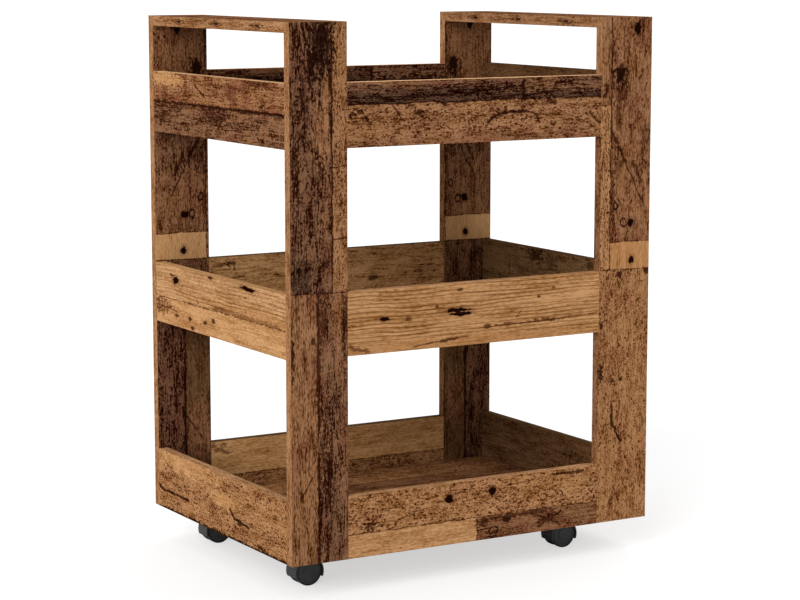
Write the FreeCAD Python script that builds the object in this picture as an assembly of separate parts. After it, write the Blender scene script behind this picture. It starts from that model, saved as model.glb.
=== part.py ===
import FreeCAD
import Part
import os

# Kitchen cart: three open trays between four board legs, a handle board across each end,
# and four swivelling twin-wheel casters under the bottom tray.
# Millimetres, +Z up, +X along the cart, front at -Y, origin on the floor under the middle.

# Driving dimensions of the woodwork
cart_length = 600.0
cart_width = 450.0
board = 15.0
leg_width = 89.0
rail_height = 89.5
tray_pitch = 287.5
hand_gap = 67.5
edge_ease = 0.5

# Dowels
dowel_diameter = 8.0
dowel_length = 30.0
dowel_edge = 25.0
bore_end_gap = 0.3
handle_dowel_edge = 20.0
floor_dowel_x = 75.0
floor_dowel_y = 100.0
blind_skin = 5.0
fixed_fit = 0.05

# Cam fittings
cam_diameter = 15.0
cam_skin = 3.0
cam_reach = 24.0
cam_cross_length = 7.0
cam_cross_width = 1.4
cam_cross_depth = 2.0
bolt_diameter = 6.0
bolt_neck_diameter = 3.5
bolt_neck_length = 3.0
bolt_head_length = 4.0
bolt_clearance = 0.3
rail_cam_edge = 61.0

# Casters
caster_inset_x = 82.0
caster_inset_y = 81.0
wheel_diameter = 40.0
wheel_width = 7.7
wheel_gap = 11.0
wheel_rim = 3.0
wheel_web = 2.6
wheel_hub_diameter = 9.6
wheel_round = 1.2
face_ring_edge = 4.0
face_ring_width = 7.0
face_ring_depth = 0.6
trail = 19.0
hood_gap = 0.7
hood_wall = 2.0
hood_lip = 1.8
hood_drop = 8.0
hood_web = 4.0
hood_round = 0.5
side_gap = 0.5
swivel_neck = 4.2
swivel_gap = 0.1
collar_diameter = 16.0
collar_height = 3.4
socket_rise = 1.5
kingpin_diameter = 6.0
kingpin_head_diameter = 8.6
kingpin_head_height = 1.3
kingpin_head_gap = 0.2
axle_diameter = 5.0
axle_end_gap = 0.3
hub_skin = 2.2
running_fit = 0.05
washer_diameter = 22.0
washer_thickness = 1.0
plate_size = 42.0
plate_thickness = 2.0
plate_corner = 4.0
screw_edge = 5.0
screw_skin = 3.0
screw_diameter = 4.0
screw_head_diameter = 7.5
screw_head_height = 2.2
screw_hole_clearance = 0.3
screw_drive_length = 4.4
screw_drive_width = 1.0
screw_drive_depth = 1.2

# Places worked out from the driving dimensions
hood_inner_radius = wheel_diameter / 2 + hood_gap
hood_outer_radius = hood_inner_radius + hood_wall
axle_height = wheel_diameter / 2
collar_top = axle_height + hood_outer_radius + swivel_neck
washer_bottom = collar_top + swivel_gap
plate_bottom = washer_bottom + washer_thickness
frame_bottom = plate_bottom + plate_thickness
frame_top = frame_bottom + 2 * tray_pitch + rail_height + hand_gap + board
half_length = cart_length / 2
half_width = cart_width / 2
inner_x = half_length - board
inner_y = half_width - board
rail_end = half_length - leg_width
leg_middle = half_length - leg_width / 2
rail_cam_x = rail_end - rail_cam_edge
handle_middle = frame_top - board / 2
face_depth = board - blind_skin
tray_bottoms = {
    "bottom": frame_bottom,
    "middle": frame_bottom + tray_pitch,
    "top": frame_bottom + 2 * tray_pitch,
}
sides = {"left": -1, "right": 1}
rows = {"front": -1, "back": 1}

up = FreeCAD.Vector(0, 0, 1)
axle_line = FreeCAD.Vector(0, 1, 0)

boards = {}
caster_pieces = {}
bores = []
dowels = []
cam_bolts = []
cam_nuts = []
caster_screws = []


def block(xs, ys, zs):
    """A box between two values on each axis, given in any order."""
    low = FreeCAD.Vector(min(xs), min(ys), min(zs))
    size = [abs(pair[1] - pair[0]) for pair in (xs, ys, zs)]
    return Part.makeBox(size[0], size[1], size[2], low)


def rod(diameter, start, direction, length):
    """A round bar from a point along a direction."""
    return Part.makeCylinder(diameter / 2, length, start, direction)


def cut_cross(solid, centre, length, width, depth):
    """A screwdriver's cross slot, cut upwards from a point on the solid's underside."""
    for reach_x, reach_y in ((length / 2, width / 2), (width / 2, length / 2)):
        xs = (centre.x - reach_x, centre.x + reach_x)
        ys = (centre.y - reach_y, centre.y + reach_y)
        solid = solid.cut(block(xs, ys, (centre.z, centre.z + depth)))
    return solid


def eased_board(xs, ys, zs):
    """A square-cut board with its sharp corners taken off."""
    plain = block(xs, ys, zs)
    return plain.makeFillet(edge_ease, plain.Edges)


def add_dowel(seat, into, depth):
    """One dowel across a joint: seat is on the joint, depth is how far it goes into that side."""
    start = seat + into * depth
    gap = into * bore_end_gap
    dowels.append(rod(dowel_diameter, start, -into, dowel_length))
    bores.append(rod(dowel_diameter + 2 * fixed_fit, start + gap, -into, dowel_length + 2 * bore_end_gap))


def cam_bolt(seat, into):
    """The bolt of a cam fitting: shank in the far board, neck and head in the cam."""
    head_start = cam_reach - bolt_head_length / 2
    neck_start = head_start - bolt_neck_length
    tip = seat + into * face_depth
    shank = rod(bolt_diameter, tip, -into, face_depth + neck_start)
    neck = rod(bolt_neck_diameter, seat - into * neck_start, -into, bolt_neck_length)
    head = rod(bolt_diameter, seat - into * head_start, -into, bolt_head_length)
    return shank.fuse([neck, head]).removeSplitter()


def cam_nut(centre, into, depth):
    """The round cam: a side channel for the bolt's head and a cross slot in the open face."""
    body = rod(cam_diameter - 2 * fixed_fit, centre, up, depth)
    channel_start = centre + up * (board / 2) - into * (bolt_head_length / 2 + bolt_clearance)
    body = body.cut(rod(bolt_diameter + 2 * bolt_clearance, channel_start, into, cam_diameter))
    return cut_cross(body, centre, cam_cross_length, cam_cross_width, cam_cross_depth)


def add_cam(seat, into):
    """One cam fitting: the bolt goes into the far board, the cam opens on the underside."""
    underside = FreeCAD.Vector(seat.x, seat.y, seat.z - board / 2)
    centre = underside - into * cam_reach
    depth = board - cam_skin
    cam_bolts.append(cam_bolt(seat, into))
    cam_nuts.append(cam_nut(centre, into, depth))
    tip = seat + into * (face_depth + bore_end_gap)
    bores.append(rod(bolt_diameter + 2 * fixed_fit, tip, -into, face_depth + bore_end_gap))
    bores.append(rod(bolt_diameter + 2 * bolt_clearance, seat, -into, cam_reach))
    bores.append(rod(cam_diameter, centre, up, depth + fixed_fit))


def add_corner_fittings(side, row):
    """Dowels and cams that tie the trays and one handle end to one leg."""
    into_x = FreeCAD.Vector(side, 0, 0)
    into_y = FreeCAD.Vector(0, row, 0)
    rail_y = row * (half_width - board / 2)
    end_x = side * (half_length - board / 2)
    for bottom in tray_bottoms.values():
        for height in (bottom + dowel_edge, bottom + rail_height - dowel_edge):
            add_dowel(FreeCAD.Vector(side * rail_end, rail_y, height), into_x, dowel_length / 2)
            add_dowel(FreeCAD.Vector(end_x, row * inner_y, height), into_y, face_depth)
        middle = bottom + board / 2
        add_cam(FreeCAD.Vector(side * leg_middle, row * inner_y, middle), into_y)
        add_cam(FreeCAD.Vector(side * rail_cam_x, row * inner_y, middle), into_y)
        add_dowel(FreeCAD.Vector(side * inner_x, row * floor_dowel_y, middle), into_x, face_depth)
        add_dowel(FreeCAD.Vector(side * floor_dowel_x, row * inner_y, middle), into_y, face_depth)
    add_cam(FreeCAD.Vector(side * leg_middle, row * inner_y, handle_middle), into_y)
    for place in (rail_end + handle_dowel_edge, half_length - handle_dowel_edge):
        add_dowel(FreeCAD.Vector(side * place, row * inner_y, handle_middle), into_y, face_depth)


def add_woodwork():
    """Legs, handles and trays, flush with each other on the outside."""
    full_height = (frame_bottom, frame_top)
    for side_name, side in sides.items():
        leg_xs = (side * rail_end, side * half_length)
        for row_name, row in rows.items():
            leg_ys = (row * inner_y, row * half_width)
            boards["leg_%s_%s" % (row_name, side_name)] = eased_board(leg_xs, leg_ys, full_height)
        handle_zs = (frame_top - board, frame_top)
        boards["handle_%s" % side_name] = eased_board(leg_xs, (-inner_y, inner_y), handle_zs)
    for level, bottom in tray_bottoms.items():
        rail_zs = (bottom, bottom + rail_height)
        for row_name, row in rows.items():
            rail_ys = (row * inner_y, row * half_width)
            rail = eased_board((-rail_end, rail_end), rail_ys, rail_zs)
            boards["%s_tray_%s_board" % (level, row_name)] = rail
        for side_name, side in sides.items():
            end_xs = (side * inner_x, side * half_length)
            end = eased_board(end_xs, (-inner_y, inner_y), rail_zs)
            boards["%s_tray_%s_end" % (level, side_name)] = end
        floor = eased_board((-inner_x, inner_x), (-inner_y, inner_y), (bottom, bottom + board))
        boards["%s_tray_floor" % level] = floor


def drill_boards():
    """Cut every bore out of the boards that it reaches."""
    for name, solid in boards.items():
        reach = [bore for bore in bores if bore.BoundBox.intersect(solid.BoundBox)]
        boards[name] = solid.cut(reach)


def caster_plate(pin):
    """The square top plate with its screw holes and the hole for the kingpin."""
    half = plate_size / 2
    xs = (pin.x - half, pin.x + half)
    ys = (pin.y - half, pin.y + half)
    plate = block(xs, ys, (plate_bottom, frame_bottom))
    upright = [edge for edge in plate.Edges if edge.BoundBox.ZLength > plate_thickness / 2]
    plate = plate.makeFillet(plate_corner, upright)
    foot = FreeCAD.Vector(pin.x, pin.y, plate_bottom)
    plate = plate.cut(rod(kingpin_diameter + 2 * fixed_fit, foot, up, plate_thickness))
    for place in screw_places(pin):
        hole = rod(screw_diameter + 2 * screw_hole_clearance, place, up, plate_thickness)
        plate = plate.cut(hole)
    return plate


def screw_places(pin):
    """The four screw centres on the plate's underside."""
    half = plate_size / 2 - screw_edge
    offsets = [(x, y) for x in (-half, half) for y in (-half, half)]
    return [FreeCAD.Vector(pin.x + x, pin.y + y, plate_bottom) for x, y in offsets]


def add_screw(place):
    """One pan-head screw up through the plate into the bottom tray's floor."""
    bite = board - screw_skin
    head_bottom = place - up * screw_head_height
    shank = rod(screw_diameter, place, up, plate_thickness + bite)
    head = rod(screw_head_diameter, head_bottom, up, screw_head_height)
    screw = shank.fuse(head).removeSplitter()
    screw = cut_cross(screw, head_bottom, screw_drive_length, screw_drive_width, screw_drive_depth)
    caster_screws.append(screw)
    pilot_start = place + up * plate_thickness
    bores.append(rod(screw_diameter + 2 * fixed_fit, pilot_start, up, bite + bore_end_gap))


def caster_kingpin(pin):
    """The swivel pin: riveted in the plate, with a head under the hood's socket."""
    head_top = axle_height + socket_rise - kingpin_head_gap
    head_bottom = FreeCAD.Vector(pin.x, pin.y, head_top - kingpin_head_height)
    shaft = rod(kingpin_diameter, head_bottom, up, frame_bottom - head_bottom.z)
    head = rod(kingpin_head_diameter, head_bottom, up, kingpin_head_height)
    return shaft.fuse(head).removeSplitter()


def caster_washer(pin):
    """The thrust washer between the plate and the hood's collar."""
    foot = FreeCAD.Vector(pin.x, pin.y, washer_bottom)
    ring = rod(washer_diameter, foot, up, washer_thickness)
    return ring.cut(rod(kingpin_diameter + 2 * fixed_fit, foot, up, washer_thickness))


def across(diameter, middle, width):
    """A round bar on the axle's line, centred on the caster."""
    start = middle - axle_line * (width / 2)
    return rod(diameter, start, axle_line, width)


def caster_hood(pin, hub):
    """The hood: a rim over both wheels, a web between them, the axle boss and the pin's socket."""
    hood_width = wheel_gap + 2 * (wheel_width + hood_lip)
    rim = across(2 * hood_outer_radius, hub, hood_width)
    rim = rim.makeFillet(hood_round, [edge for edge in rim.Edges if edge.Closed])
    rim = rim.cut(across(2 * hood_inner_radius, hub, hood_width))
    web = across(hood_inner_radius + hood_outer_radius, hub, hood_web)
    boss_width = wheel_gap - 2 * side_gap
    boss = across(wheel_hub_diameter, hub, boss_width)
    socket_bottom = FreeCAD.Vector(pin.x, pin.y, axle_height + socket_rise)
    socket = rod(boss_width, socket_bottom, up, collar_top - socket_bottom.z)
    collar_bottom = FreeCAD.Vector(pin.x, pin.y, collar_top - collar_height)
    collar = rod(collar_diameter, collar_bottom, up, collar_height)
    hood = rim.fuse([web, boss, socket, collar]).removeSplitter()
    reach = trail + hood_outer_radius + collar_diameter
    skirt = axle_height - hood_drop
    below = block((hub.x - reach, hub.x + reach), (hub.y - reach, hub.y + reach), (-reach, skirt))
    head_room = kingpin_head_diameter + 2 * side_gap
    pocket = rod(head_room, FreeCAD.Vector(pin.x, pin.y, 0), up, socket_bottom.z)
    pin_bore = rod(kingpin_diameter + 2 * running_fit, socket_bottom, up, collar_top - socket_bottom.z)
    axle_bore = across(axle_diameter + 2 * fixed_fit, hub, hood_width)
    return hood.cut([below, pocket, pin_bore, axle_bore])


def caster_axle(hub):
    """The axle: fixed in the hood's boss, one end in each wheel."""
    return across(axle_diameter, hub, wheel_gap + 2 * (wheel_width - hub_skin - axle_end_gap))


def caster_wheel(hub, outward):
    """One of the twin wheels: open on the inside, a closed face with a shallow ring outside."""
    out = axle_line * outward
    inner_face = hub + out * (wheel_gap / 2)
    wheel = rod(wheel_diameter, inner_face, out, wheel_width)
    wheel = wheel.makeFillet(wheel_round, [edge for edge in wheel.Edges if edge.Closed])
    hollow_depth = wheel_width - wheel_web
    hollow = rod(wheel_diameter - 2 * wheel_rim, inner_face, out, hollow_depth)
    hollow = hollow.cut(rod(wheel_hub_diameter, inner_face, out, hollow_depth))
    ring_start = inner_face + out * (wheel_width - face_ring_depth)
    ring_diameter = wheel_diameter - 2 * face_ring_edge
    ring = rod(ring_diameter, ring_start, out, face_ring_depth)
    ring = ring.cut(rod(ring_diameter - 2 * face_ring_width, ring_start, out, face_ring_depth))
    bore = rod(axle_diameter + 2 * running_fit, inner_face, out, wheel_width - hub_skin)
    return wheel.cut([hollow, ring, bore])


def add_caster(name, side, row):
    """One caster at a corner of the bottom tray, trailing towards -X at rest."""
    pin = FreeCAD.Vector(side * (half_length - caster_inset_x), row * (half_width - caster_inset_y), 0)
    hub = FreeCAD.Vector(pin.x - trail, pin.y, axle_height)
    for place in screw_places(pin):
        add_screw(place)
    caster_pieces["caster_%s_plate" % name] = caster_plate(pin)
    caster_pieces["caster_%s_kingpin" % name] = caster_kingpin(pin)
    caster_pieces["caster_%s_washer" % name] = caster_washer(pin)
    caster_pieces["caster_%s_hood" % name] = caster_hood(pin, hub)
    caster_pieces["caster_%s_axle" % name] = caster_axle(hub)
    for row_name, outward in rows.items():
        caster_pieces["caster_%s_%s_wheel" % (name, row_name)] = caster_wheel(hub, outward)


add_woodwork()
for side_name, side in sides.items():
    for row_name, row in rows.items():
        add_corner_fittings(side, row)
        add_caster("%s_%s" % (row_name, side_name), side, row)
drill_boards()

nodes = {**boards, **caster_pieces}
nodes["dowels"] = Part.makeCompound(dowels)
nodes["cam_bolts"] = Part.makeCompound(cam_bolts)
nodes["cam_nuts"] = Part.makeCompound(cam_nuts)
nodes["caster_screws"] = Part.makeCompound(caster_screws)

os.makedirs("parts", exist_ok=True)
for name, shape in nodes.items():
    shape.exportStep("parts/%s.step" % name)
    print(name, len(shape.Solids), "solids", round(shape.Volume), "mm3")
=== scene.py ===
import math
from statistics import NormalDist

import bpy
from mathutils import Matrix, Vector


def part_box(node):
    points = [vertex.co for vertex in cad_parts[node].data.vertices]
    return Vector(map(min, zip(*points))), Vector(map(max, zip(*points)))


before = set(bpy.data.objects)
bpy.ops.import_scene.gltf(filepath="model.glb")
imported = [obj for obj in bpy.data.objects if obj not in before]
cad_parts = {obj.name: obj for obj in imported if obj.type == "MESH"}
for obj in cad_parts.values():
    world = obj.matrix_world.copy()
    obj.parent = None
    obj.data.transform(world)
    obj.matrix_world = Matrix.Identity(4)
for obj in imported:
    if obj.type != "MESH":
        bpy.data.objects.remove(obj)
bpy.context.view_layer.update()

# Kitchen cart with an old-wood print on every board, on black twin-wheel casters.
# Metres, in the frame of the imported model: +X along the cart, front at -Y, floor at Z 0.

# Camera, from the photograph's perspective
camera_place = (-1.7794, -3.0338, 0.8797)
camera_turn = math.radians(-30.456)
camera_dip = math.radians(8.201)
camera_lens = 106.34

# Light
sky_light = 0.375
key_strength = 2.47
key_rise = math.radians(27)
key_turn = math.radians(57)
key_softness = math.radians(42)
top_strength = 0.66
top_softness = math.radians(80)
fill_strength = 1.2
fill_rise = math.radians(30)
fill_turn = math.radians(-135)
fill_softness = math.radians(70)
white = (1, 1, 1, 1)

# Floor
floor_colour = (0.96, 0.96, 0.96, 1)
floor_seen_colour = (0.48, 0.48, 0.48, 1)
floor_lift = 0.59
floor_reach = 60.0

# Shades of the print
brightness_weights = (0.30, 0.59, 0.11)
tint_share = 0.8
second_share = 0.3

# Noise: its mean and spread, and the steps between the seeds of boards and planks
noise_middle = 0.5
noise_spread = 0.14
board_seed_step = 1.3
plank_seed_step = 7.31

# Borders, seams and grain of the print
face_limit = 0.7
seam_width = 0.0013
seam_ragged = 0.0003
seam_strength = 0.85
border_wobble = 0.0005
grain_wander = 0.0011
grain_break = 0.45
ridges_per_metre = 175
ridge_sway = 0.1

# How much of the dark shade stains, flecks and ridges take, and of the light one flakes
stain_depth = 0.95
fleck_depth = 0.9
ridge_depth = 0.7
flake_share = 0.6

# Surface of the print
wood_roughness = 0.72
bump_depth = 0.0003
bump_strength = 0.5


def chart_parts(hex_colour):
    """The three parts, from 0 to 1, of a colour written as on a colour chart."""
    return [int(hex_colour[i:i + 2], 16) / 255 for i in (1, 3, 5)]


def to_linear(parts):
    """The parts of a chart colour as the linear numbers that a shader reads."""
    return (*[p / 12.92 if p <= 0.04045 else ((p + 0.055) / 1.055) ** 2.4 for p in parts], 1)


def linear(hex_colour):
    """A chart colour as the linear numbers that a shader reads."""
    return to_linear(chart_parts(hex_colour))


def even_shades(*hex_colours):
    """Linear shades that keep their brightness and come near one tint, mostly that of the first."""
    shades = [chart_parts(colour) for colour in hex_colours]
    levels = [sum(w * p for w, p in zip(brightness_weights, shade)) for shade in shades]
    tints = [[p - level for p in shade] for shade, level in zip(shades, levels)]
    shared = [first + (second - first) * second_share for first, second in zip(*tints[:2])]
    evened = []
    for level, tint in zip(levels, tints):
        parts = [level + own + (common - own) * tint_share for own, common in zip(tint, shared)]
        evened.append(to_linear([max(p, 0.0) for p in parts]))
    return evened


class Wire:
    """An output of a node. Sums and products of wires read as a formula."""

    def __init__(self, tree, socket):
        self.tree = tree
        self.socket = socket

    def __add__(self, other):
        return self.tree.math("ADD", self, other)

    def __radd__(self, other):
        return self.tree.math("ADD", other, self)

    def __sub__(self, other):
        return self.tree.math("SUBTRACT", self, other)

    def __rsub__(self, other):
        return self.tree.math("SUBTRACT", other, self)

    def __mul__(self, other):
        return self.tree.math("MULTIPLY", self, other)

    def __abs__(self):
        return self.tree.math("ABSOLUTE", self)


class Tree:
    """The nodes of one material."""

    mix_sockets = {"FLOAT": (2, 3, 0), "VECTOR": (4, 5, 1), "RGBA": (6, 7, 2)}

    def __init__(self, name):
        self.material = bpy.data.materials.new(name)
        self.material.use_nodes = True
        self.nodes = self.material.node_tree.nodes
        self.links = self.material.node_tree.links
        self.shader = self.nodes["Principled BSDF"]

    def feed(self, socket, value):
        """Link a wire to a socket, or set the socket to a plain value."""
        if isinstance(value, Wire):
            self.links.new(value.socket, socket)
        else:
            socket.default_value = value

    def add(self, kind, inputs, output=0, **settings):
        """One node, with its settings and its inputs by name or number."""
        node = self.nodes.new("ShaderNode" + kind)
        for name, value in settings.items():
            setattr(node, name, value)
        for name, value in inputs.items():
            self.feed(node.inputs[name], value)
        return Wire(self, node.outputs[output])

    def set_shader(self, **values):
        """Inputs of the material's shader, with _ for a space in a name."""
        for name, value in values.items():
            self.feed(self.shader.inputs[name.replace("_", " ")], value)

    def math(self, operation, first, second=0.0):
        """One step of arithmetic."""
        return self.add("Math", {0: first, 1: second}, operation=operation)

    def vector(self, operation, first, second=(0, 0, 0), output=0):
        """One step of arithmetic with vectors."""
        return self.add("VectorMath", {0: first, 1: second}, output, operation=operation)

    def largest(self, values):
        """The largest of several wires or numbers."""
        found = values[0]
        for value in values[1:]:
            found = self.math("MAXIMUM", found, value)
        return found

    def below(self, first, second):
        """1 where first is less than second, and 0 elsewhere."""
        return self.math("LESS_THAN", first, second)

    def step(self, value, start, end):
        """0 where value is at start, 1 where it is at end, smooth between them."""
        inputs = {"Value": value, "From Min": start, "From Max": end}
        return self.add("MapRange", inputs, interpolation_type="SMOOTHSTEP")

    def mix(self, share, first, second, kind="RGBA"):
        """first where share is 0, second where it is 1."""
        a, b, out = self.mix_sockets[kind]
        return self.add("Mix", {0: share, a: first, b: second}, out, data_type=kind)

    def multiply(self, share, first, second):
        """The colour first where share is 0, first times second where it is 1."""
        a, b, out = self.mix_sockets["RGBA"]
        inputs = {0: share, a: first, b: second}
        return self.add("Mix", inputs, out, data_type="RGBA", blend_type="MULTIPLY")

    def point(self, x, y, z=0.0):
        """A vector from its parts."""
        return self.add("CombineXYZ", {0: x, 1: y, 2: z})

    def split(self, vector):
        """The three parts of a vector."""
        node = self.nodes.new("ShaderNodeSeparateXYZ")
        self.feed(node.inputs[0], vector)
        return [Wire(self, socket) for socket in node.outputs]

    def coordinates(self, kind):
        """The three parts of the object's own coordinates, of its normal or of the place in its box."""
        node = self.nodes.new("ShaderNodeTexCoord")
        return self.split(Wire(self, node.outputs[kind]))

    def noise(self, place, scale, detail=2, rough=0.5):
        """Noise around 0 with a standard deviation of about 1, and scale waves per unit of place."""
        scaled = [part * waves for part, waves in zip(place, scale)]
        inputs = {"Vector": self.point(*scaled), "Scale": 1.0, "Detail": detail, "Roughness": rough}
        layers = [rough ** number for number in range(detail + 1)]
        spread = noise_spread * math.hypot(*layers) / sum(layers)
        return (self.add("TexNoise", inputs) - noise_middle) * (1 / spread)

    def bump(self, height, depth, strength):
        """A normal that follows a height."""
        inputs = {"Strength": strength, "Distance": depth, "Height": height}
        return self.add("Bump", inputs)


def limit_for(share):
    """The number of standard deviations above which this share of a noise lies."""
    return NormalDist().inv_cdf(1 - share)


class Style:
    """How one plank of the print looks.

    stain and flecks are shares of its area, streaks, ridges and red are strengths, and stretch
    is how long its grain is.
    """

    def __init__(self, light, middle, dark, stain, flecks, streaks, ridges=0.0, red=0.0, stretch=1.0):
        self.light, self.middle, self.dark = even_shades(light, middle, dark)
        self.wear = (limit_for(stain), limit_for(flecks), streaks)
        self.grain = (ridges, red, 0)
        self.rate = 1 / stretch


styles = {
    "black": Style("#583b2a", "#1f130c", "#0a0503", 0.46, 0.12, 1.0, red=0.3, stretch=1.2),
    "charred": Style("#7b5439", "#342219", "#120a06", 0.36, 0.08, 1.1, red=0.4),
    # A sooty print, also laid as painted shade on the dark legs beside the trays
    "soot_and_shade": Style("#895e41", "#443020", "#170d08", 0.21, 0.04, 1.0, red=0.5, stretch=1.2),
    "stained": Style("#7a5239", "#331f17", "#0f0704", 0.38, 0.10, 1.0, red=0.5, stretch=1.2),
    "scarred": Style("#9f6f49", "#573a27", "#28150b", 0.08, 0.06, 1.15, red=0.6, stretch=1.6),
    "brown": Style("#966846", "#573b28", "#231109", 0.05, 0.08, 1.0, red=0.4, stretch=1.25),
    "streaky": Style("#976a47", "#553926", "#25130a", 0.06, 0.03, 1.25, red=0.4, stretch=1.9),
    "worm": Style("#b18054", "#6b4a2f", "#261309", 0.03, 0.21, 1.0, red=0.25, stretch=0.9),
    "speckled": Style("#a8784f", "#6a4b30", "#37220f", 0.04, 0.17, 1.0, red=0.25, stretch=0.8),
    "eaten": Style("#a0724c", "#5f412a", "#2c170d", 0.05, 0.23, 1.0, red=0.3, stretch=0.85),
    "aged": Style("#c89a68", "#8c673f", "#2f1a0d", 0.04, 0.03, 0.9, ridges=0.2, red=0.2, stretch=1.6),
    "pine": Style("#ba8c60", "#8e6438", "#42270e", 0.01, 0.015, 0.8, ridges=0.85, stretch=2.75),
    "fresh": Style("#bf9267", "#8f6842", "#4a2e18", 0.01, 0.015, 0.85, ridges=0.52, stretch=2.5),
    "smooth": Style("#b08055", "#90653b", "#5a3c20", 0.01, 0.01, 0.8, stretch=2.2),
    # A pale print, for a patch on the dark legs and also as painted light on one tray board's upper
    # edge
    "bleached_and_lit": Style("#d0a271", "#b08356", "#75532f", 0.01, 0.01, 0.6, stretch=2.2),
    "pale": Style("#c09163", "#946a43", "#64452a", 0.01, 0.01, 0.9, ridges=0.15, stretch=1.8),
    "olive": Style("#cfa06b", "#a07549", "#6c4e2e", 0.01, 0.01, 0.9, ridges=0.1, stretch=2.0),
    "dull": Style("#755335", "#463220", "#1e120a", 0.06, 0.03, 0.8, red=0.2, stretch=1.5),
    "murky": Style("#866440", "#503d28", "#20140b", 0.05, 0.04, 0.8, red=0.1, stretch=1.3),
    "rim": Style("#c99a6f", "#946b48", "#5a3a20", 0.02, 0.03, 1.0, red=0.2, stretch=1.5),
    # A lighter rim: painted light on the upper edges of some tray boards
    "lit_rim": Style("#f0c294", "#c99a6e", "#7a5636", 0.02, 0.02, 1.0, stretch=1.5),
    # A darker rim: painted shade on the upper edges of the back boards and right ends
    "shaded_rim": Style("#64492f", "#46331f", "#241a10", 0.02, 0.03, 1.0, stretch=1.5),
    "edge": Style("#a87c55", "#744f34", "#3f2614", 0.02, 0.04, 1.0, red=0.2, stretch=1.5),
}
mark_colour = linear("#180a07")
mark_tint = linear("#ffe7da")
red_tint = linear("#c8969a")
yellow_tint = linear("#efe3c4")


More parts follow.
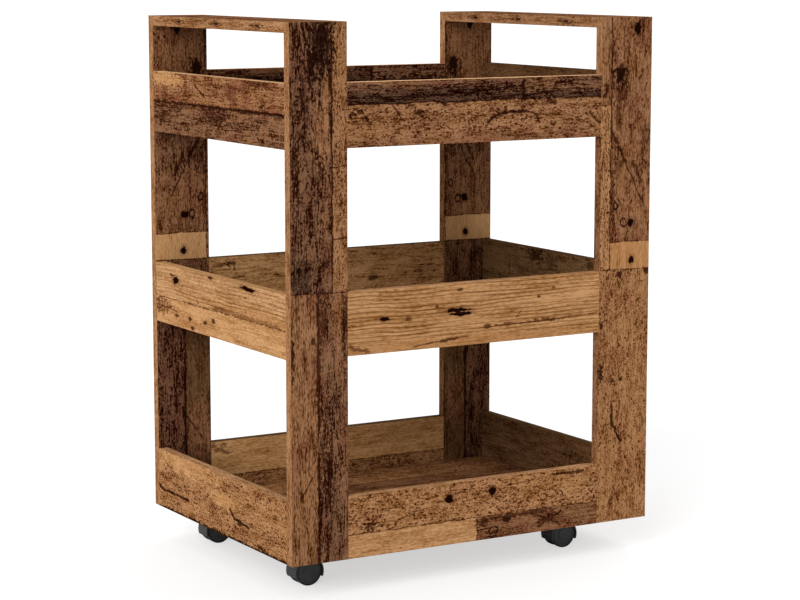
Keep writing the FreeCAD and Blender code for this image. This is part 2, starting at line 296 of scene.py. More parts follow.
class Painter:
    """Paints planks and marks on the faces of one board, and mixes them into one material.

    Along and across run over the board's broad faces from its lowest corner, and depth through it,
    all in metres.
    """

    def __init__(self, node, axes, seed):
        tree = self.tree = Tree(node)
        low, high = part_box(node)
        place = tree.coordinates("Object")
        normal = tree.coordinates("Normal")
        along, across, depth = axes
        self.width = high[across] - low[across]
        self.board_along = place[along] - low[along]
        self.board_across = place[across] - low[across]
        self.board_depth = place[depth] - low[depth]
        self.low_face = tree.below(normal[depth], -face_limit)
        self.high_face = tree.below(face_limit, normal[depth])
        self.low_edge = tree.below(normal[across], -face_limit)
        self.high_edge = tree.below(face_limit, normal[across])
        self.end_face = tree.below(face_limit, abs(normal[along]))
        self.edge_face = 1 - self.low_face - self.high_face
        surface = (self.board_along, self.board_across)
        self.wobble = tree.noise((*surface, 1.7), (45, 60, 1)) * border_wobble
        self.ragged = tree.noise((*surface, 3.3), (150, 220, 1), rough=0.65)
        grain = tree.noise((*surface, 9.1), (300, 420, 1), detail=1)
        self.breaks = 1 - tree.step(grain, 0.2, 1.8) * grain_break
        self.seed = seed
        look = styles["edge"]
        self.light = look.light
        self.middle = look.middle
        self.dark = look.dark
        self.wear = look.wear
        self.grain = look.grain
        self.plank_seed = seed
        self.plank_rate = look.rate
        self.seams = 0.0
        self.marks = 0.0
        self.turn_to(self.low_face, self.board_along, self.board_across)

    def turn_to(self, face, along, across):
        """Choose the face that is painted next, and how places on it are counted."""
        self.face = face
        self.along = along
        self.across = across
        self.spot = self.tree.point(along + self.wobble, across + self.wobble)

    def turn_to_edge(self, edge):
        """Choose one of the two long edges, with places counted along it and through the board."""
        self.turn_to(edge, self.board_along, self.board_depth)

    def lay(self, style, cover):
        """Mix a style in where cover is 1."""
        tree, look = self.tree, styles[style]
        self.light = tree.mix(cover, self.light, look.light)
        self.middle = tree.mix(cover, self.middle, look.middle)
        self.dark = tree.mix(cover, self.dark, look.dark)
        self.wear = tree.mix(cover, self.wear, look.wear, "VECTOR")
        self.grain = tree.mix(cover, self.grain, look.grain, "VECTOR")

    def plank(self, style, along=(None, None), across=(None, None)):
        """One plank of the print between two places in each direction, or up to the board's edge."""
        tree = self.tree
        cover = self.face
        sides = []
        for place, (start, end) in ((self.along, along), (self.across, across)):
            if start is not None:
                sides.append(start - (place + self.wobble))
            if end is not None:
                sides.append(place + self.wobble - end)
        if sides:
            outside = tree.largest(sides)
            cover = cover * tree.below(outside, 0.0)
            from_border = abs(outside) + self.ragged * seam_ragged
            seam = tree.step(from_border, seam_width, 0.0) * self.face
            self.seams = tree.largest([self.seams, seam])
        self.lay(style, cover)
        self.seed += plank_seed_step
        self.plank_seed = tree.mix(cover, self.plank_seed, self.seed, "FLOAT")
        self.plank_rate = tree.mix(cover, self.plank_rate, styles[style].rate, "FLOAT")

    def patch(self, style, centre, reach):
        """An oval of another style with a ragged border."""
        distance = self.oval_distance(centre, reach, ragged=0.25)
        self.lay(style, self.face * self.tree.step(distance, 1.2, 0.8))

    def add_mark(self, shape, strength):
        """Darken a shape on the face that is painted."""
        self.marks = self.tree.largest([self.marks, shape * self.face * strength])

    def oval_distance(self, centre, reach, ragged):
        """0 at the middle of an oval and 1 on its rim, which is ragged by a share of its reach."""
        tree = self.tree
        offset = tree.vector("SUBTRACT", self.spot, (*centre, 0))
        scaled = tree.vector("MULTIPLY", offset, (1 / reach[0], 1 / reach[1], 0))
        return tree.vector("LENGTH", scaled, output="Value") + self.ragged * ragged

    def line_distance(self, start, end):
        """Distance from the straight line between two places."""
        tree = self.tree
        run = (end[0] - start[0], end[1] - start[1], 0)
        square = run[0] ** 2 + run[1] ** 2
        offset = tree.vector("SUBTRACT", self.spot, (*start, 0))
        share = tree.vector("DOT_PRODUCT", offset, run, "Value") * (1 / square)
        share = tree.math("MINIMUM", tree.math("MAXIMUM", share, 0.0), 1.0)
        nearest = tree.add("VectorMath", {0: run, "Scale": share}, operation="SCALE")
        return tree.vector("LENGTH", tree.vector("SUBTRACT", offset, nearest), output="Value")

    def knot(self, centre, reach, strength=1.0):
        """A solid dark knot or nail hole in a browner halo."""
        distance = self.oval_distance(centre, reach, ragged=0.12)
        self.add_mark(self.tree.step(distance, 1.15, 0.8), strength)
        self.add_mark(self.tree.step(distance, 1.9, 1.0), strength * 0.3)

    def ring(self, centre, reach, strength=0.95):
        """A knot that shows only its dark rim."""
        from_rim = abs(self.oval_distance(centre, reach, ragged=0.12) - 0.85)
        self.add_mark(self.tree.step(from_rim, 0.4, 0.1), strength)

    def blotch(self, centre, reach, strength=0.9):
        """A soft dark blotch with a ragged border, broken by the grain: a stain, and on the dark legs
        also painted shade.
        """
        distance = self.oval_distance(centre, reach, ragged=0.35)
        self.add_mark(self.tree.step(distance, 1.15, 0.55) * self.breaks, strength)

    def crack(self, points, width=0.0016, strength=0.8):
        """A ragged dark line through several places."""
        for start, end in zip(points, points[1:]):
            distance = self.line_distance(start, end) + self.ragged * (width * 0.22)
            self.add_mark(self.tree.step(distance, width, width * 0.4), strength)

    def wood_noises(self):
        """The noises of the print, drawn anew for each plank, and the line of the grain."""
        tree, seed = self.tree, self.plank_seed
        along = tree.mix(self.end_face, self.board_along, self.board_across, "FLOAT")
        across = tree.mix(self.edge_face, self.board_across, self.board_depth, "FLOAT")
        line = across + tree.noise((along, across, seed), (5, 9, 1)) * grain_wander
        run = along * self.plank_rate
        fine = tree.noise((run, line, seed), (45, 520, 1), detail=3, rough=0.65)
        broad = tree.noise((along, line, seed + 3.1), (9, 95, 1))
        cloud = tree.noise((run, across, seed + 5.3), (40, 70, 1), detail=4, rough=0.7)
        spots = tree.noise((along, across, seed + 8.7), (165, 330, 1), rough=0.6)
        patch = tree.noise((along, across, seed + 13.7), (20, 32, 1), detail=3)
        pits = tree.noise((run, across, seed + 17.9), (300, 480, 1), detail=1)
        return line, fine, broad, cloud, spots, patch, pits

    def old_wood(self):
        """Colour and height of the print, from the wear that each place has."""
        tree = self.tree
        stain_limit, fleck_limit, streaks = tree.split(self.wear)
        ridges, red, _ = tree.split(self.grain)
        line, fine, broad, cloud, spots, patch, pits = self.wood_noises()
        tone = (fine * 0.5 + cloud * 0.4 + broad * 0.3 + pits * 0.7) * streaks
        colour = tree.mix(tree.step(tone, -1.7, 1.7), self.light, self.middle)
        stain = cloud * 0.35 + fine * 0.65 + broad * 0.35 + pits * 0.6 - stain_limit
        stained = tree.step(stain, -0.8, 0.8)
        fleck = spots * 0.88 + pits * 0.4 + patch * 0.18 - fleck_limit
        flecked = tree.step(fleck, -0.4, 0.7)
        wave = tree.math("SINE", (line * ridges_per_metre + broad * ridge_sway) * (2 * math.pi))
        ridged = tree.step(wave, 0.1, 0.95) * ridges * tree.step(fine * 0.25 + broad * 0.5, -1.9, 0.2)
        keep = (1 - stained * stain_depth) * (1 - flecked * fleck_depth) * (1 - ridged * ridge_depth)
        colour = tree.mix(1 - keep, colour, self.dark)
        flakes = tree.step(pits * 0.8 - spots * 0.6, 1.6, 2.4)
        colour = tree.mix(flakes * flake_share, colour, self.light)
        colour = tree.multiply(red * tree.step(patch, 0.0, 1.8), colour, red_tint)
        colour = tree.multiply(red * tree.step(patch, 0.0, -1.8), colour, yellow_tint)
        return colour, keep * 0.7 + fine * 0.05

    def finish(self):
        """Join the print, its seams and its marks into the material."""
        tree = self.tree
        colour, height = self.old_wood()
        lines = tree.largest([self.seams * seam_strength, self.marks])
        colour = tree.mix(lines, colour, mark_colour)
        colour = tree.multiply(tree.step(lines, 0.0, 0.8), colour, mark_tint)
        height = height * (1 - lines)
        tree.set_shader(
            Base_Color=colour,
            Roughness=wood_roughness - height * 0.2,
            Specular_IOR_Level=0.0,
            Normal=tree.bump(height, bump_depth, bump_strength),
        )
        return tree.material


# Prints of the legs: where their upper and lower halves meet, and where they end
leg_seam = 0.378
leg_top = 0.747


def charred_top(face):
    """The upper half of a leg: a blackened plank beside a worm-eaten strip."""
    seam = 0.065
    face.plank("eaten", (leg_seam, None), (seam, None))
    face.plank("charred", (leg_seam, None), (None, seam))
    face.patch("streaky", (0.640, 0.056), (0.050, 0.008))
    face.patch("streaky", (0.597, 0.050), (0.045, 0.013))
    face.patch("soot_and_shade", (0.470, 0.055), (0.085, 0.009))
    face.patch("black", (0.396, 0.016), (0.030, 0.018))
    face.patch("black", (0.716, 0.048), (0.042, 0.020))
    face.blotch((0.720, 0.050), (0.042, 0.019), strength=0.8)
    face.blotch((0.690, 0.034), (0.026, 0.014), strength=0.85)
    face.blotch((0.650, 0.022), (0.040, 0.007), strength=0.6)
    face.blotch((0.620, 0.063), (0.016, 0.003))
    face.blotch((0.418, 0.052), (0.010, 0.007), strength=0.8)
    face.crack([(leg_seam, seam), (leg_top, seam)], width=0.0019)
    face.crack([(0.549, seam), (0.552, 0.089)], width=0.0012)
    face.crack([(0.450, seam), (0.453, 0.089)], width=0.0012)


def charred_foot(face):
    """The lower half of a leg: two brown planks, one of them blackened in places."""
    seam = 0.042
    gap = 0.043
    face.plank("streaky", (None, leg_seam), (None, seam))
    face.plank("soot_and_shade", (None, leg_seam), (seam, None))
    face.patch("brown", (0.345, 0.074), (0.050, 0.008))
    face.patch("charred", (0.075, 0.064), (0.090, 0.016))
    face.patch("charred", (0.220, 0.064), (0.050, 0.010))
    face.crack([(0.000, gap), (0.150, gap)], width=0.0034)
    face.crack([(0.190, gap), (0.376, gap)], width=0.0038)
    face.blotch((0.340, 0.050), (0.040, 0.007), strength=0.7)
    face.blotch((0.330, 0.084), (0.040, 0.003), strength=0.7)
    face.blotch((0.150, 0.050), (0.030, 0.006), strength=0.7)
    face.blotch((0.104, 0.058), (0.045, 0.006), strength=0.7)
    face.blotch((0.290, 0.002), (0.045, 0.003))
    face.knot((0.312, 0.034), (0.0050, 0.0030), strength=0.8)
    face.crack([(0.095, 0.015), (0.123, 0.033)])


def knotty_top(face, patch):
    """The upper half of a leg: brown knotty wood over a pale patch with a nail hole."""
    seam = 0.018
    patch_end = 0.419
    joint = 0.620
    face.plank("brown", (leg_seam, None))
    face.plank("streaky", (joint, None), (None, seam))
    face.plank("worm", (leg_seam, joint), (None, seam))
    face.plank(patch, (leg_seam, patch_end), (seam, None))
    face.crack([(patch_end, seam), (leg_top, seam)], width=0.0019)
    face.knot((0.731, 0.064), (0.0100, 0.0055))
    face.blotch((0.661, 0.033), (0.019, 0.013), strength=0.97)
    face.knot((0.664, 0.033), (0.0135, 0.0080), strength=0.95)
    face.blotch((0.652, 0.036), (0.026, 0.016), strength=0.6)
    face.blotch((0.610, 0.030), (0.030, 0.006), strength=0.5)
    face.blotch((0.570, 0.078), (0.030, 0.008), strength=0.5)
    face.crack([(0.617, 0.050), (0.587, 0.050)], width=0.0022, strength=0.6)
    face.crack([(0.613, 0.065), (0.590, 0.065)], width=0.0020, strength=0.5)
    face.crack([(0.648, 0.010), (0.632, 0.005)], width=0.0045)
    face.crack([(0.579, 0.020), (0.537, 0.043)], width=0.0036)
    face.crack([(0.537, 0.043), (0.475, 0.076)])
    face.crack([(0.535, 0.058), (0.508, 0.071)], width=0.0042, strength=0.7)
    face.blotch((0.530, 0.030), (0.020, 0.009), strength=0.5)
    face.blotch((0.480, 0.021), (0.050, 0.003), strength=0.6)
    face.ring((0.472, 0.027), (0.0065, 0.0048))
    face.ring((0.447, 0.042), (0.0068, 0.0055))
    face.knot((0.447, 0.054), (0.0062, 0.0060))
    face.knot((0.392, 0.057), (0.0062, 0.0054))


def worm_foot(face):
    """The lower half of a leg, worm-eaten."""
    face.plank("speckled", (None, leg_seam))
    face.blotch((0.372, 0.036), (0.007, 0.007))
    face.blotch((0.355, 0.034), (0.010, 0.003), strength=0.7)
    face.blotch((0.374, 0.085), (0.006, 0.004))
    face.blotch((0.300, 0.004), (0.007, 0.004), strength=0.8)
    face.blotch((0.226, 0.004), (0.020, 0.004))
    face.blotch((0.216, 0.024), (0.008, 0.005), strength=0.8)
    face.blotch((0.214, 0.040), (0.004, 0.004))
    face.crack([(0.181, 0.024), (0.160, 0.025)], width=0.0022)
    face.crack([(0.160, 0.025), (0.148, 0.027)], width=0.0040, strength=0.9)
    face.crack([(0.148, 0.027), (0.135, 0.032), (0.121, 0.042)], width=0.0028, strength=0.9)
    face.blotch((0.110, 0.040), (0.030, 0.003), strength=0.5)
    face.crack([(0.055, 0.030), (0.025, 0.020)], width=0.0020, strength=0.5)
    face.crack([(0.055, 0.030), (0.025, 0.040)], width=0.0020, strength=0.5)


def brown_foot(face):
    """The lower half of a leg: a dull plank beside a stained one, with painted shade in a band above
    them where the middle tray stands.
    """
    top = 0.290
    seam = 0.056
    gap = 0.057
    # Painted shade: a dark band over the top of the lower half, beside the middle tray
    face.plank("soot_and_shade", (None, leg_seam))
    face.plank("dull", (None, top), (None, seam))
    face.patch("brown", (0.115, 0.034), (0.042, 0.020))
    face.plank("stained", (None, top), (seam, None))
    face.crack([(0.000, gap), (top, gap)], width=0.0028, strength=0.85)
    face.crack([(0.134, 0.054), (0.098, 0.029)])
    face.blotch((0.137, 0.009), (0.030, 0.008), strength=0.7)


def charred_leg(face):
    """A blackened leg."""
    charred_top(face)
    charred_foot(face)


def knotty_leg(face):
    """A knotty leg with a worm-eaten foot."""
    knotty_top(face, "smooth")
    worm_foot(face)


def dark_leg(face):
    """A knotty leg with a dark foot, and painted shade in a band below the top tray and a softer one
    around the bottom of the middle tray.
    """
    knotty_top(face, "bleached_and_lit")
    # Painted shade in a band across the leg just below the top tray
    face.patch("soot_and_shade", (0.545, 0.055), (0.042, 0.060))
    brown_foot(face)
    # Faint painted shade across the leg around the bottom of the middle tray
    face.blotch((0.290, 0.055), (0.060, 0.070), strength=0.35)


def stained_rail(face):
    """Two dark stained planks over a worm-eaten one."""
    seam = 0.059
    joint = 0.287
    face.plank("stained", (None, joint), (seam, None))
    face.plank("soot_and_shade", (joint, None), (seam, None))
    face.patch("black", (0.130, 0.063), (0.230, 0.015))
    face.patch("soot_and_shade", (0.080, 0.092), (0.160, 0.009))
    face.patch("black", (0.375, 0.062), (0.075, 0.008))
    face.patch("charred", (0.395, 0.084), (0.060, 0.007))
    face.plank("eaten", across=(None, seam))
    face.patch("brown", (0.200, 0.000), (0.280, 0.013))
    face.crack([(0.000, seam), (0.422, seam)])
    face.crack([(joint, 0.060), (joint, 0.084)], width=0.0034, strength=0.9)
    for place in ((0.008, 0.046), (0.018, 0.048), (0.030, 0.039), (0.115, 0.046), (0.157, 0.055)):
        face.blotch(place, (0.0070, 0.0035))
    face.crack([(0.071, 0.059), (0.088, 0.035)], width=0.0014)
    face.crack([(0.107, 0.046), (0.120, 0.040)], width=0.0030)
    curl = [(0.227, 0.027), (0.238, 0.036), (0.259, 0.041), (0.290, 0.042)]
    face.crack(curl, width=0.0028, strength=0.9)
    face.crack([(0.290, 0.042), (0.308, 0.036), (0.315, 0.025)], width=0.0018)
    face.blotch((0.332, 0.057), (0.012, 0.005))
    face.crack([(0.332, 0.057), (0.342, 0.050)], width=0.0030)
    face.crack([(0.403, 0.037), (0.419, 0.020)], width=0.0036, strength=0.7)


def pine_rail(face):
    """One plank of ridged pine with a few small knots and long cracks."""
    face.plank("pine")
    face.patch("smooth", (0.150, 0.004), (0.260, 0.010))
    face.knot((0.059, 0.047), (0.0085, 0.0032))
    face.knot((0.096, 0.044), (0.0062, 0.0024), strength=0.6)
    face.knot((0.178, 0.0520), (0.0220, 0.0038))
    face.knot((0.182, 0.0461), (0.0190, 0.0030))
    face.knot((0.181, 0.080), (0.0050, 0.0018), strength=0.8)
    face.knot((0.144, 0.059), (0.0030, 0.0020), strength=0.7)
    face.knot((0.316, 0.061), (0.0030, 0.0020), strength=0.8)
    face.knot((0.342, 0.073), (0.0030, 0.0020), strength=0.6)
    face.knot((0.228, 0.024), (0.0070, 0.0028), strength=0.75)
    face.knot((0.265, 0.026), (0.0090, 0.0020), strength=0.6)
    face.crack([(0.107, 0.006), (0.150, 0.009)], width=0.0015, strength=0.7)
    face.crack([(0.150, 0.009), (0.178, 0.0115)], width=0.0025)
    face.crack([(0.178, 0.0115), (0.196, 0.0125)], width=0.0014, strength=0.6)
    face.crack([(0.240, 0.024), (0.300, 0.025), (0.355, 0.026)], strength=0.65)
    face.blotch((0.332, 0.026), (0.022, 0.0026), strength=0.75)
    face.crack([(0.355, 0.026), (0.419, 0.030)], width=0.0020, strength=0.5)
    face.crack([(0.003, 0.012), (0.031, 0.003)], width=0.0044, strength=0.6)
    face.crack([(0.278, 0.034), (0.285, 0.042)], width=0.0012, strength=0.6)


def aged_rail(face):
    """One plank of darker ridged wood with a stain at one end and a knot."""
    face.plank("aged")
    face.blotch((0.034, 0.079), (0.0100, 0.0055), strength=0.85)
    face.blotch((0.043, 0.074), (0.0030, 0.0070), strength=0.7)
    face.crack([(0.008, 0.077), (0.030, 0.078)], width=0.0032, strength=0.5)
    face.crack([(0.040, 0.056), (0.062, 0.058)], width=0.0024, strength=0.5)
    face.knot((0.290, 0.040), (0.0100, 0.0040), strength=0.8)


def worm_rail(face):
    """A worm-eaten plank with two nail holes over a pale plank and a brown knotty one."""
    seam = 0.034
    joint = 0.211
    face.plank("worm", across=(seam, None))
    face.plank("pale", (None, joint), (None, seam))
    face.plank("brown", (joint, None), (None, seam))
    face.blotch((0.330, 0.014), (0.110, 0.022), strength=0.18)
    face.knot((0.165, 0.068), (0.0072, 0.0064))
    face.knot((0.237, 0.070), (0.0066, 0.0062))
    face.blotch((0.035, 0.042), (0.012, 0.007))
    face.knot((0.263, 0.026), (0.0075, 0.0050), strength=0.9)
    face.ring((0.240, 0.012), (0.0080, 0.0060))
    face.blotch((0.334, 0.020), (0.020, 0.008), strength=0.8)
    face.crack([(0.318, 0.026), (0.352, 0.008)], width=0.0026)
    face.crack([(0.318, 0.009), (0.358, 0.027)], width=0.0026)
    face.blotch((0.290, 0.031), (0.070, 0.004), strength=0.75)
    face.blotch((0.220, 0.026), (0.012, 0.008), strength=0.8)
    face.blotch((0.242, 0.001), (0.012, 0.003))
    face.crack([(joint, 0.014), (0.232, 0.016)], width=0.0020)
    face.crack([(0.349, 0.084), (0.397, 0.083)], width=0.0024)
    face.crack([(0.270, 0.077), (0.300, 0.078)], width=0.0014, strength=0.6)


def plain_rail(face):
    """A plain plank over a narrow worm-eaten one."""
    seam = 0.035
    face.plank("olive", across=(seam, None))
    face.plank("worm", across=(None, seam))
    for place in ((0.012, 0.078), (0.021, 0.082), (0.024, 0.070), (0.004, 0.083)):
        face.blotch(place, (0.0060, 0.0040), strength=0.65)


def stained_end(face):
    """A scarred plank over a dark stained one."""
    seam = 0.047
    gap = 0.046
    face.plank("soot_and_shade", across=(None, seam))
    face.plank("scarred", across=(seam, None))
    face.patch("pale", (0.377, 0.080), (0.060, 0.010))
    face.crack([(0.278, 0.075), (0.247, 0.060)], width=0.0030)
    face.crack([(0.420, gap), (0.000, gap)], width=0.0032, strength=0.85)
    face.blotch((0.383, 0.058), (0.012, 0.012), strength=0.5)
    face.blotch((0.165, 0.069), (0.030, 0.012), strength=0.35)
    face.blotch((0.075, 0.083), (0.040, 0.006), strength=0.7)
    face.blotch((0.064, 0.055), (0.008, 0.006), strength=0.8)
    face.blotch((0.214, 0.032), (0.050, 0.010), strength=0.7)
    face.blotch((0.390, 0.024), (0.030, 0.012), strength=0.6)
    face.blotch((0.320, 0.043), (0.100, 0.004), strength=0.5)


def pine_end(face):
    """A ridged pine plank with long knots over a plainer one with small holes."""
    seam = 0.040
    face.plank("fresh", across=(seam, None))
    face.patch("pine", (0.150, 0.053), (0.200, 0.012))
    face.patch("smooth", (0.060, 0.040), (0.110, 0.011))
    face.knot((0.351, 0.070), (0.0100, 0.0058))
    face.crack([(0.358, 0.075), (0.370, 0.077)], width=0.0026)
    face.knot((0.234, 0.086), (0.0085, 0.0026), strength=0.9)
    face.knot((0.114, 0.084), (0.0215, 0.0033))
    face.plank("pale", across=(None, seam))
    face.crack([(0.220, 0.044), (0.020, 0.041)], width=0.0050, strength=0.4)
    face.patch("scarred", (0.410, 0.026), (0.052, 0.011))
    for place in ((0.349, 0.017), (0.303, 0.018), (0.252, 0.018), (0.224, 0.024), (0.294, 0.004)):
        face.knot(place, (0.0062, 0.0028), strength=0.85)


def worm_end(face):
    """One worm-eaten plank with two dark cracks and a dark lower edge."""
    face.plank("worm")
    face.patch("pale", (0.320, 0.080), (0.100, 0.014))
    face.patch("pale", (0.200, 0.052), (0.040, 0.012))
    face.crack([(0.417, 0.033), (0.400, 0.029)], width=0.0046, strength=0.9)
    face.crack([(0.400, 0.029), (0.316, 0.028)], width=0.0028, strength=0.9)
    face.crack([(0.177, 0.044), (0.162, 0.032)], width=0.0030, strength=0.9)
    face.crack([(0.162, 0.032), (0.142, 0.030)], width=0.0048, strength=0.9)
    face.crack([(0.142, 0.030), (0.117, 0.028)], width=0.0030, strength=0.9)
    face.crack([(0.000, 0.000), (0.420, 0.000)], width=0.0044, strength=0.95)
    face.crack([(0.414, 0.083), (0.353, 0.054)], strength=0.5)
    face.crack([(0.343, 0.069), (0.320, 0.035)], strength=0.5)
    face.blotch((0.079, 0.007), (0.014, 0.006))


def dark_end(face):
    """One dull plank with a short crack."""
    face.plank("dull")
    face.crack([(0.180, 0.036), (0.225, 0.030)], width=0.0030, strength=0.6)


def spotted_end(face):
    """One murky plank with stains near its upper edge."""
    face.plank("murky")
    face.blotch((0.262, 0.080), (0.024, 0.015), strength=0.85)
    face.blotch((0.222, 0.074), (0.018, 0.010), strength=0.5)
    face.blotch((0.110, 0.078), (0.018, 0.010), strength=0.6)
    face.crack([(0.340, 0.062), (0.340, 0.042)], width=0.0026, strength=0.5)


def floor_planks(face):
    """Five planks side by side."""
    plank_styles = ("worm", "streaky", "eaten", "brown", "scarred")
    plank_width = face.width / len(plank_styles)
    for number, style in enumerate(plank_styles):
        start = number * plank_width
        face.plank(style, across=(start, start + plank_width))


def handle_planks(face):
    """Two dark planks side by side."""
    seam = 0.059
    face.plank("brown", across=(None, seam))
    face.plank("soot_and_shade", across=(seam, None))


# Eyes in the grain of the handles' edges: their places along the edge, and its middle
eye_places = (0.079, 0.206, 0.328)
edge_middle = 0.0080


def eyed_edge(face):
    """Three small dark eyes in the grain along an edge, each with a fainter lens beside it."""
    for place in eye_places:
        face.knot((place, edge_middle), (0.0060, 0.0022), strength=0.9)
        tail = [(place + 0.007, edge_middle), (place + 0.018, edge_middle)]
        face.crack(tail, width=0.0012, strength=0.7)
        grain_lens(face, place - 0.020, place, place + 0.026, bulge=0.0042, strength=0.55)
        grain_lens(face, place + 0.040, place + 0.060, place + 0.085, bulge=0.0034, strength=0.4)


def grain_lens(face, start, middle, end, bulge, strength):
    """Two thin lines that part along the middle of an edge and meet again."""
    for side in (-1, 1):
        points = [(start, edge_middle), (middle, edge_middle + side * bulge), (end, edge_middle)]
        face.crack(points, width=0.0010, strength=strength)


# Axes of each kind of board: along its length, across its broad face and through it
leg_axes = (2, 0, 1)
rail_axes = (0, 2, 1)
end_axes = (1, 2, 0)
floor_axes = (0, 1, 2)
handle_axes = (1, 0, 2)

# Each board's axes and the prints of its low and high face
boards = {
    "leg_front_left": (leg_axes, charred_leg, dark_leg),
    "leg_front_right": (leg_axes, knotty_leg, charred_leg),
    "leg_back_left": (leg_axes, dark_leg, charred_leg),
    "leg_back_right": (leg_axes, dark_leg, knotty_leg),
    "handle_left": (handle_axes, handle_planks, handle_planks),
    "handle_right": (handle_axes, handle_planks, handle_planks),
    "top_tray_front_board": (rail_axes, stained_rail, stained_rail),
    "top_tray_back_board": (rail_axes, stained_rail, stained_rail),
    "top_tray_left_end": (end_axes, stained_end, dark_end),
    "top_tray_right_end": (end_axes, dark_end, stained_end),
    "middle_tray_front_board": (rail_axes, pine_rail, plain_rail),
    "middle_tray_back_board": (rail_axes, aged_rail, pine_rail),
    "middle_tray_left_end": (end_axes, pine_end, dark_end),
    "middle_tray_right_end": (end_axes, spotted_end, pine_end),
    "bottom_tray_front_board": (rail_axes, worm_rail, plain_rail),
    "bottom_tray_back_board": (rail_axes, plain_rail, worm_rail),
    "bottom_tray_left_end": (end_axes, worm_end, dark_end),
    "bottom_tray_right_end": (end_axes, dark_end, worm_end),
    "top_tray_floor": (floor_axes, floor_planks, floor_planks),
    "middle_tray_floor": (floor_axes, floor_planks, floor_planks),
    "bottom_tray_floor": (floor_axes, floor_planks, floor_planks),
}
# Tray boards whose upper edge is lighter or darker than the rest: the lighter edges carry painted
# light, the darker ones painted shade
rims = {
    "top_tray_front_board": "lit_rim",
    "top_tray_left_end": "lit_rim",
    "middle_tray_left_end": "bleached_and_lit",
    "middle_tray_back_board": "shaded_rim",
    "bottom_tray_back_board": "shaded_rim",
    "top_tray_right_end": "shaded_rim",
    "middle_tray_right_end": "shaded_rim",
    "bottom_tray_right_end": "shaded_rim",
}
# Legs with painted shade on their inner edge below the top tray, and how high that reaches
shaded_leg_edges = ("leg_front_right", "leg_back_right")
tray_edge = 0.575
# Where the back legs cut their prints: direction across the leg, and start of the cut
print_cuts = {"leg_back_left": (-1, 0.103), "leg_back_right": (1, 0.016)}


def print_boards():
    """Give every board its own print, on both faces and on its edges."""
    for number, (node, (axes, low_print, high_print)) in enumerate(boards.items()):
        painter = Painter(node, axes, board_seed_step * number)
        if node in print_cuts:
            direction, start = print_cuts[node]
            across = painter.board_across * direction + start
            painter.turn_to(painter.low_face, painter.board_along, across)
        low_print(painter)
        across = painter.width - painter.board_across
        painter.turn_to(painter.high_face, painter.board_along, across)
        high_print(painter)
        # Upper edges of tray boards: the rim print, with painted light on some and painted shade on
        # others as listed in rims
        if axes in (rail_axes, end_axes):
            painter.turn_to_edge(painter.high_edge)
            painter.plank(rims.get(node, "rim"))
        # Painted shade on the inner edge of the right legs, up to the bottom of the top tray
        if node in shaded_leg_edges:
            painter.turn_to_edge(painter.low_edge)
            painter.plank("brown", (None, tray_edge))
        if axes == handle_axes:
            painter.turn_to_edge(painter.low_edge)
            eyed_edge(painter)
        dress(node, painter.finish())


def dress(node, material):
    """Put a material on a CAD node's own object."""
    mesh_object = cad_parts[node]
    for slot in mesh_object.material_slots:
        slot.link = "OBJECT"
        slot.material = material


def moulded_plastic(name, colour, dusty, rim=None):
    """Plastic with a fine moulded grain and a little dust, and on a wheel a darker rim."""
    tree = Tree(name)
    place = tree.coordinates("Object")
    grain = tree.noise(place, [2600] * 3)
    cloud = tree.noise(place, [90] * 3, detail=4)
    face_colour = tree.mix(tree.step(cloud, -1.5, 1.5), linear(colour), linear(dusty))
    if rim:
        across, _, up = tree.coordinates("Generated")
        from_axle = tree.vector("LENGTH", tree.point(across * 2 - 1, up * 2 - 1), output="Value")
        face_colour = tree.mix(tree.step(from_axle, 0.81, 0.88), face_colour, linear(rim))
    tree.set_shader(
        Base_Color=face_colour,
        Roughness=0.48 + cloud * 0.04,
        Specular_IOR_Level=0.35,
        Normal=tree.bump(grain, 0.00004, 0.3),
    )
    return tree.material


def plated_steel(name, colour, tarnish):
    """Zinc-plated steel with fine rubbing marks."""
    tree = Tree(name)
    place = tree.coordinates("Object")
    rub = tree.noise(place, (900, 900, 250), detail=3)
    cloud = tree.noise(place, [160] * 3, detail=3)
    tree.set_shader(
        Base_Color=tree.mix(tree.step(cloud, -1.2, 1.6), linear(colour), linear(tarnish)),
        Metallic=1.0,
        Roughness=0.34 + rub * 0.05,
        Normal=tree.bump(rub, 0.00002, 0.3),
    )
    return tree.material


def beech_wood(name):
    """Pale dowel wood with short dark flecks."""
    tree = Tree(name)
    flecks = tree.noise(tree.coordinates("Object"), [500] * 3, detail=3)
    tree.set_shader(
        Base_Color=tree.mix(tree.step(flecks, 0.3, 1.6), linear("#d3b083"), linear("#a87c4f")),
        Roughness=0.62 + flecks * 0.04,
        Normal=tree.bump(flecks, 0.0002, 0.4),
    )
    return tree.material


def dress_fittings():
    """Materials of the casters and of the hidden joinery."""
    hood = moulded_plastic("caster_plastic", "#212224", "#28292b")
    wheel = moulded_plastic("wheel_plastic", "#242628", "#2b2d2f", rim="#0b0b0c")
    nylon = moulded_plastic("washer_nylon", "#c9c5b8", "#d6d2c6")
    zinc = plated_steel("zinc_steel", "#b9bcc0", "#9a9da2")
    cam = plated_steel("cam_metal", "#a9a59c", "#8b877e")
    beech = beech_wood("dowel_wood")
    dress("dowels", beech)
    dress("cam_bolts", zinc)
    dress("cam_nuts", cam)
    dress("caster_screws", zinc)
    endings = {
        "_plate": zinc,
        "_kingpin": zinc,
        "_washer": nylon,
        "_hood": hood,
        "_axle": zinc,
        "_wheel": wheel,
    }
    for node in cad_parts:
        for ending, material in endings.items():
            if node.startswith("caster_") and node.endswith(ending):
                dress(node, material)


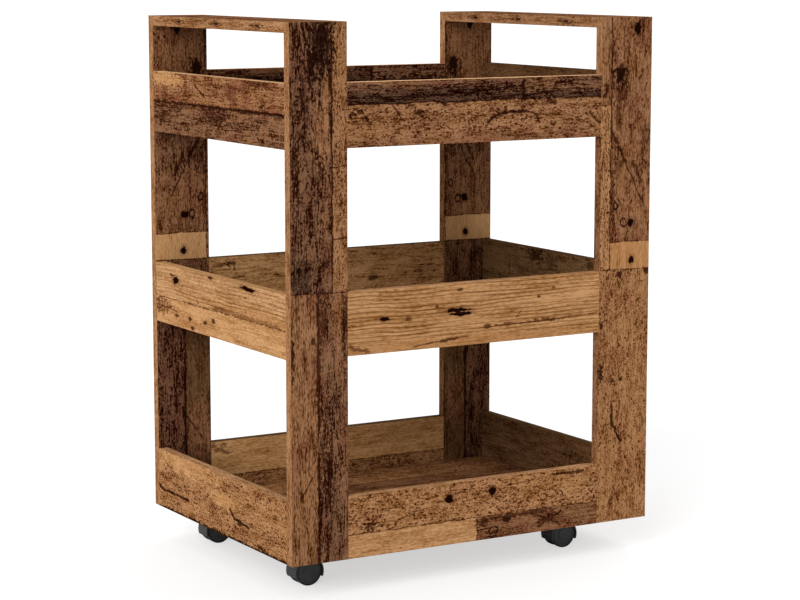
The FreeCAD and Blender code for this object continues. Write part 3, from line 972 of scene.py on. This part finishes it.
def add_floor():
    """A plain pale floor, white to the camera."""
    corners = ((-1, -1), (1, -1), (1, 1), (-1, 1))
    points = [(x * floor_reach, y * floor_reach, 0) for x, y in corners]
    mesh = bpy.data.meshes.new("floor")
    mesh.from_pydata(points, [], [(0, 1, 2, 3)])
    floor = bpy.data.objects.new("floor", mesh)
    bpy.context.scene.collection.objects.link(floor)
    tree = Tree("pale_floor")
    seen = tree.add("LightPath", {}, "Is Camera Ray")
    colour = tree.mix(seen, floor_colour, floor_seen_colour)
    tree.set_shader(Base_Color=colour, Roughness=0.9, Specular_IOR_Level=0.0)
    tree.set_shader(Emission_Color=white, Emission_Strength=seen * floor_lift)
    mesh.materials.append(tree.material)


def add_light():
    """Even light from all round, a soft key from the front left, weak fills, and a white background."""
    scene = bpy.context.scene
    world = bpy.data.worlds.new("studio")
    world.use_nodes = True
    scene.world = world
    nodes, links = world.node_tree.nodes, world.node_tree.links
    path = nodes.new("ShaderNodeLightPath")
    seen = path.outputs["Is Camera Ray"]
    for output in ("Is Glossy Ray", "Is Transmission Ray"):
        either = nodes.new("ShaderNodeMath")
        either.operation = "MAXIMUM"
        links.new(seen, either.inputs[0])
        links.new(path.outputs[output], either.inputs[1])
        seen = either.outputs[0]
    level = nodes.new("ShaderNodeMapRange")
    level.inputs["To Min"].default_value = sky_light
    links.new(seen, level.inputs["Value"])
    background = nodes["Background"]
    background.inputs["Color"].default_value = white
    links.new(level.outputs[0], background.inputs["Strength"])
    add_sun("key", key_strength, key_softness, (math.pi / 2 - key_rise, 0, -key_turn))
    add_sun("top", top_strength, top_softness, (0, 0, 0))
    add_sun("fill", fill_strength, fill_softness, (math.pi / 2 - fill_rise, 0, -fill_turn))


def add_sun(name, strength, softness, turn):
    """A distant light that is seen as a disc as wide as its softness."""
    lamp = bpy.data.lights.new(name, "SUN")
    lamp.energy = strength
    lamp.angle = softness
    sun = bpy.data.objects.new(name, lamp)
    sun.rotation_euler = turn
    bpy.context.scene.collection.objects.link(sun)


def add_camera():
    """The photograph's view, with plain colour."""
    scene = bpy.context.scene
    lens = bpy.data.cameras.new("camera")
    lens.lens = camera_lens
    camera = bpy.data.objects.new("camera", lens)
    camera.location = camera_place
    camera.rotation_euler = (math.pi / 2 - camera_dip, 0, camera_turn)
    scene.collection.objects.link(camera)
    scene.camera = camera
    scene.view_settings.view_transform = "Standard"


print_boards()
dress_fittings()
add_floor()
add_light()
add_camera()
